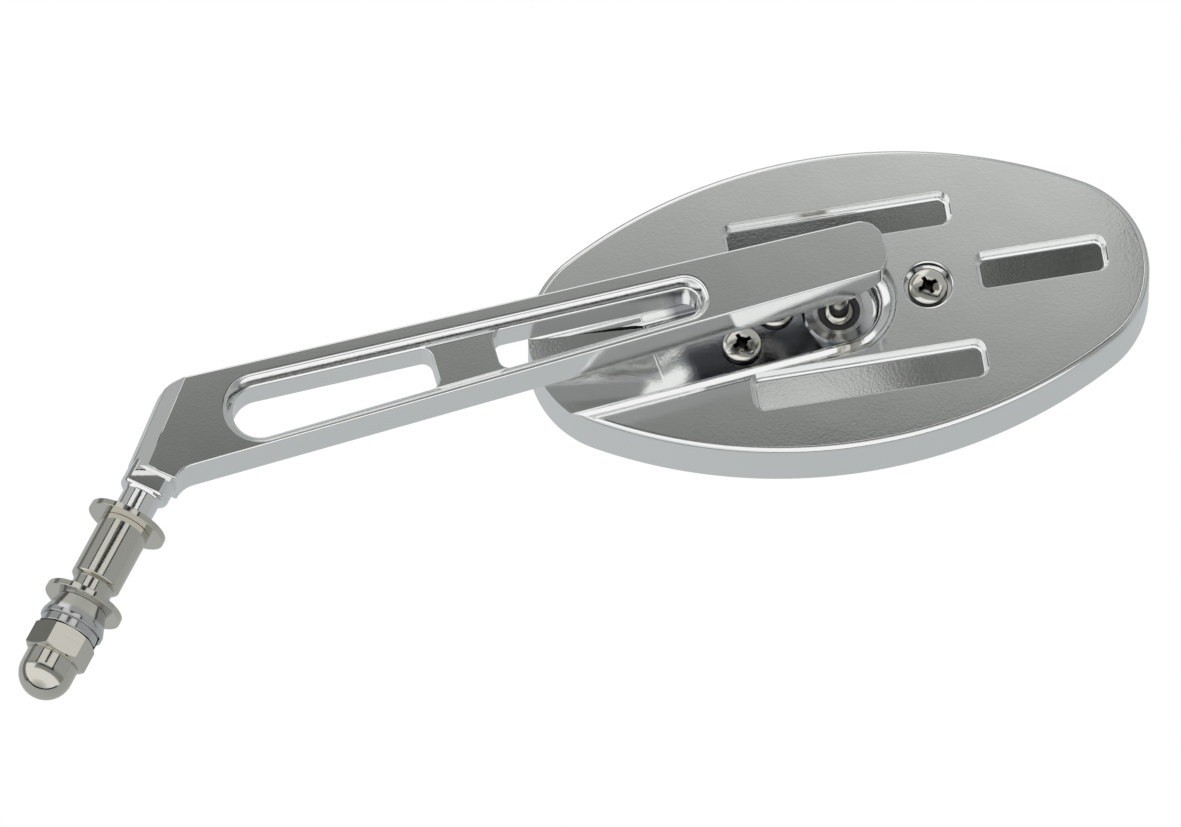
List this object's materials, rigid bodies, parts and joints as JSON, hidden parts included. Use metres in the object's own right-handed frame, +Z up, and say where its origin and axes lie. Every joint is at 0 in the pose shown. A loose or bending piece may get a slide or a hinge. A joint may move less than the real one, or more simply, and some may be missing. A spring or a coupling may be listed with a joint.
{
  "type": "motorcycle mirror",
  "caption": "Oval chromed motorcycle mirror on a ball joint at the end of a slotted straight arm, with a threaded stem, spacer sleeve, washers and domed nut.",
  "frame": {"origin": "on the stem's axis, at the lower face of the upper washer, where the handlebar lug's top face meets it", "axes": "+Z up the stem towards the arm, +X the way the arm leans, -Y out of the arm's grooved face and the head's back; the glass faces +Y"},
  "size_m": [0.2008, 0.0465, 0.2419],
  "materials": {
    "chrome": "polished chrome plate on cast metal",
    "nickel_steel": "bright nickel-plated turned steel",
    "zinc_steel": "bright zinc-plated steel",
    "nylon": "moulded nylon",
    "foam": "closed-cell foam",
    "rubber": "moulded rubber",
    "mirror_glass": "silvered float glass"
  },
  "bodies": {
    "arm": {"arm": "chrome", "ball_stud": "nickel_steel", "stud_grub_screw": "zinc_steel", "mounting_stud": "zinc_steel", "upper_washer": "nickel_steel", "spacer_sleeve": "nickel_steel"},
    "nut_stack": {"lower_washer": "nickel_steel", "bevel_collar": "zinc_steel", "lock_washer": "zinc_steel", "acorn_nut": "nickel_steel"},
    "liner": {"ball_liner": "nylon"},
    "cup": {"pressure_cup": "zinc_steel"},
    "head": {"head_shell": "chrome", "socket_plate": "zinc_steel", "screw_outer": "nickel_steel", "screw_channel_low": "nickel_steel", "screw_channel_high": "nickel_steel", "backing_pad": "foam", "glass_seal": "rubber", "mirror_glass": "mirror_glass"}
  },
  "joints": [
    {"name": "nut_slide", "type": "slide", "parent": "arm", "child": "nut_stack", "axis": [0, 0, -1], "range_m": [0, 0.045]},
    {"name": "head_nod", "type": "hinge", "parent": "arm", "child": "liner", "pos_m": [0.1244, 0.0287, 0.13741], "axis": [-0.6691, 0, 0.7431], "range_deg": [-15, 7]},
    {"name": "head_roll", "type": "hinge", "parent": "liner", "child": "cup", "pos_m": [0.1244, 0.0287, 0.13741], "axis": [0.7431, 0, 0.6691], "range_deg": [-12, 12]},
    {"name": "head_spin", "type": "hinge", "parent": "cup", "child": "head", "pos_m": [0.1244, 0.0287, 0.13741], "axis": [0, 1, 0], "continuous": true}
  ]
}
